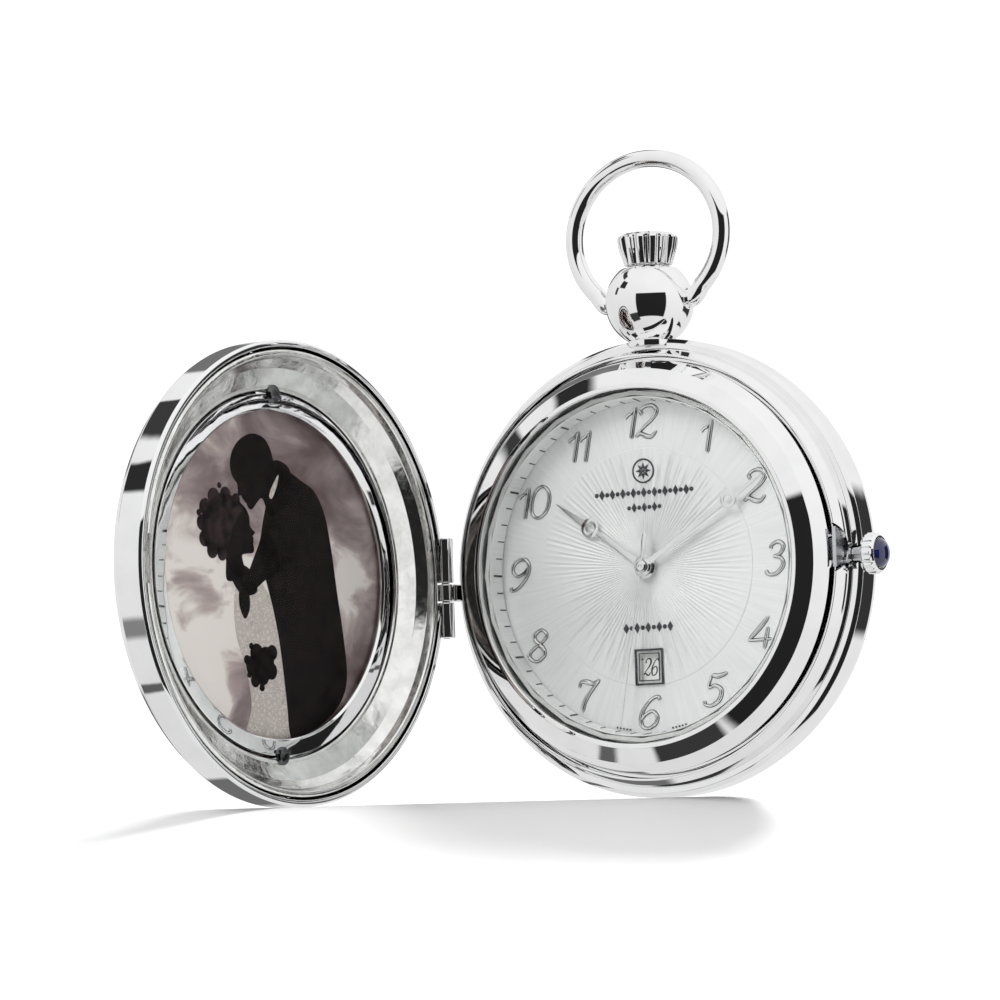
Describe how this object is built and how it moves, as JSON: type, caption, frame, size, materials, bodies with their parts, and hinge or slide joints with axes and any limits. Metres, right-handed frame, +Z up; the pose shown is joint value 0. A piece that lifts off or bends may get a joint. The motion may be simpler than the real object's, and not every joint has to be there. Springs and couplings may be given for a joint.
{
  "type": "pocket watch",
  "caption": "Hunter-case quartz pocket watch with a ball pendant, ring bow, date window and a round picture frame inside its hinged lid.",
  "frame": {"origin": "middle of the flat at the foot of the case band, on which the watch stands", "axes": "+Z up through 12 o'clock, the dial faces -Y, +X to the setting crown at 3 o'clock"},
  "size_m": [0.0615, 0.0574, 0.0679],
  "materials": {
    "polished_chrome": "mirror-polished chrome plating over brass",
    "satin_nickel": "satin nickel with a soft olive-grey tone",
    "fine_steel": "fine-ground steel",
    "movement_brass": "plain machined brass",
    "silvered_dial": "silvered, with sunburst guilloche and a fine grain outside it",
    "crystal_glass": "clear polished mineral glass",
    "seal_rubber": "matt black rubber",
    "spacer_resin": "moulded dark resin",
    "circuit_laminate": "green laminate with traces",
    "coil_copper": "enamelled copper winding",
    "photo_paper": "printed photograph paper, semi-matt",
    "blue_cabochon": "dark navy polished cabochon"
  },
  "bodies": {
    "case": {"case_middle": "polished_chrome", "case_back": "polished_chrome", "case_back_gasket": "seal_rubber", "bezel": "polished_chrome", "crystal": "crystal_glass", "crystal_gasket": "seal_rubber", "rehaut_ring": "silvered_dial", "crown_tube": "fine_steel", "hinge_pin": "fine_steel", "lock_spring": "fine_steel", "lock_spring_screw": "fine_steel", "lid_lift_spring": "fine_steel", "pendant_ball": "polished_chrome", "button_spring": "fine_steel", "dial": "silvered_dial", "date_window_frame": "fine_steel", "movement_ring": "spacer_resin", "main_plate": "movement_brass", "train_bridge": "fine_steel", "bridge_screw_1": "fine_steel", "bridge_screw_2": "fine_steel", "bridge_screw_3": "fine_steel", "circuit_board": "circuit_laminate", "stator": "fine_steel", "coil": "coil_copper", "quartz_can": "fine_steel", "battery": "fine_steel", "battery_clamp": "fine_steel", "date_jumper": "fine_steel"},
    "lid": {"lid_shell": "polished_chrome", "lid_liner": "satin_nickel", "photo_ring": "polished_chrome", "photo_window": "crystal_glass", "photo_print": "photo_paper"},
    "bow": {"bow": "polished_chrome"},
    "push_button": {"push_crown": "polished_chrome", "push_stem": "fine_steel"},
    "catch": {"lid_catch": "fine_steel"},
    "crown_slide": {"crown_seal": "seal_rubber"},
    "crown": {"setting_crown": "polished_chrome", "cabochon": "blue_cabochon", "stem": "fine_steel"},
    "setting_lever": {"setting_lever": "fine_steel"},
    "yoke": {"yoke": "fine_steel"},
    "sliding_pinion": {"sliding_pinion": "fine_steel"},
    "minute_work": {"minute_hand": "fine_steel", "cannon_pinion": "fine_steel"},
    "hour_work": {"hour_hand": "fine_steel", "hour_wheel": "movement_brass"},
    "minute_wheel": {"minute_wheel": "movement_brass"},
    "date_driver": {"date_driving_wheel": "movement_brass"},
    "date_disc": {"date_ring": "silvered_dial"},
    "second_work": {"second_hand": "fine_steel", "second_wheel": "movement_brass"},
    "third_wheel": {"third_wheel": "movement_brass"},
    "center_wheel": {"center_wheel": "movement_brass"},
    "intermediate_wheel": {"intermediate_wheel": "movement_brass"},
    "rotor": {"rotor": "fine_steel"}
  },
  "joints": [
    {"name": "lid_swing", "type": "hinge", "parent": "case", "child": "lid", "pos_m": [-0.02385, -0.00345, 0.02393], "axis": [0, 0, 1], "range_deg": [0, 98]},
    {"name": "bow_swing", "type": "hinge", "parent": "case", "child": "bow", "pos_m": [0, 0, 0.05173], "axis": [1, 0, 0], "range_deg": [-90, 90]},
    {"name": "button_press", "type": "slide", "parent": "case", "child": "push_button", "axis": [0, 0, -1], "range_m": [0, 0.0008], "stiffness_N_per_m": 1500, "springref_m": -0.0005, "deforming": ["button_spring"]},
    {"name": "catch_slide", "type": "slide", "parent": "case", "child": "catch", "axis": [-1, 0, 0], "range_m": [0, 0.00035]},
    {"name": "crown_pull", "type": "slide", "parent": "case", "child": "crown_slide", "axis": [1, 0, 0], "range_m": [0, 0.001]},
    {"name": "crown_turn", "type": "hinge", "parent": "crown_slide", "child": "crown", "pos_m": [0.0243, 0, 0.02393], "axis": [1, 0, 0], "continuous": true},
    {"name": "lever_swing", "type": "hinge", "parent": "case", "child": "setting_lever", "pos_m": [0.0116, 0.0007, 0.02053], "axis": [0, 1, 0], "range_deg": [0, 17]},
    {"name": "yoke_swing", "type": "hinge", "parent": "case", "child": "yoke", "pos_m": [0.01, 0.0015, 0.02693], "axis": [0, 1, 0], "range_deg": [0, 12]},
    {"name": "pinion_slide", "type": "slide", "parent": "case", "child": "sliding_pinion", "axis": [-1, 0, 0], "range_m": [0, 0.0006]},
    {"name": "minute_turn", "type": "hinge", "parent": "case", "child": "minute_work", "pos_m": [0, -0.0035, 0.02393], "axis": [0, 1, 0], "continuous": true},
    {"name": "hour_turn", "type": "hinge", "parent": "case", "child": "hour_work", "pos_m": [0, -0.003, 0.02393], "axis": [0, 1, 0], "continuous": true},
    {"name": "minute_wheel_turn", "type": "hinge", "parent": "case", "child": "minute_wheel", "pos_m": [-0.0018, -0.0013, 0.02082], "axis": [0, 1, 0], "continuous": true},
    {"name": "date_driver_turn", "type": "hinge", "parent": "case", "child": "date_driver", "pos_m": [0.0024, -0.0019, 0.02809], "axis": [0, 1, 0], "continuous": true},
    {"name": "date_turn", "type": "hinge", "parent": "case", "child": "date_disc", "pos_m": [0, -0.0018, 0.02393], "axis": [0, 1, 0], "continuous": true},
    {"name": "second_turn", "type": "hinge", "parent": "case", "child": "second_work", "pos_m": [0, -0.0039, 0.02393], "axis": [0, 1, 0], "continuous": true},
    {"name": "third_turn", "type": "hinge", "parent": "case", "child": "third_wheel", "pos_m": [-0.00395, 0, 0.0225], "axis": [0, 1, 0], "continuous": true},
    {"name": "center_turn", "type": "hinge", "parent": "case", "child": "center_wheel", "pos_m": [0, -0.0002, 0.02393], "axis": [0, 1, 0], "continuous": true},
    {"name": "intermediate_turn", "type": "hinge", "parent": "case", "child": "intermediate_wheel", "pos_m": [-0.0005, 0.001, 0.02677], "axis": [0, 1, 0], "continuous": true},
    {"name": "rotor_turn", "type": "hinge", "parent": "case", "child": "rotor", "pos_m": [0.00076, 0.002, 0.02895], "axis": [0, 1, 0], "continuous": true}
  ],
  "couplings": [
    {"joint": "catch_slide", "follows": "button_press", "ratio": 0.4},
    {"joint": "lever_swing", "follows": "crown_pull", "rad_per_m": 290},
    {"joint": "yoke_swing", "follows": "crown_pull", "rad_per_m": 200},
    {"joint": "pinion_slide", "follows": "crown_pull", "ratio": 0.6},
    {"joint": "hour_turn", "follows": "minute_turn", "ratio": 0.083333},
    {"joint": "minute_wheel_turn", "follows": "minute_turn", "ratio": -0.33333},
    {"joint": "date_driver_turn", "follows": "minute_turn", "ratio": -0.041667},
    {"joint": "third_turn", "follows": "second_turn", "ratio": -0.16667},
    {"joint": "center_turn", "follows": "second_turn", "ratio": 0.016667},
    {"joint": "intermediate_turn", "follows": "second_turn", "ratio": -5},
    {"joint": "rotor_turn", "follows": "second_turn", "ratio": 30}
  ]
}
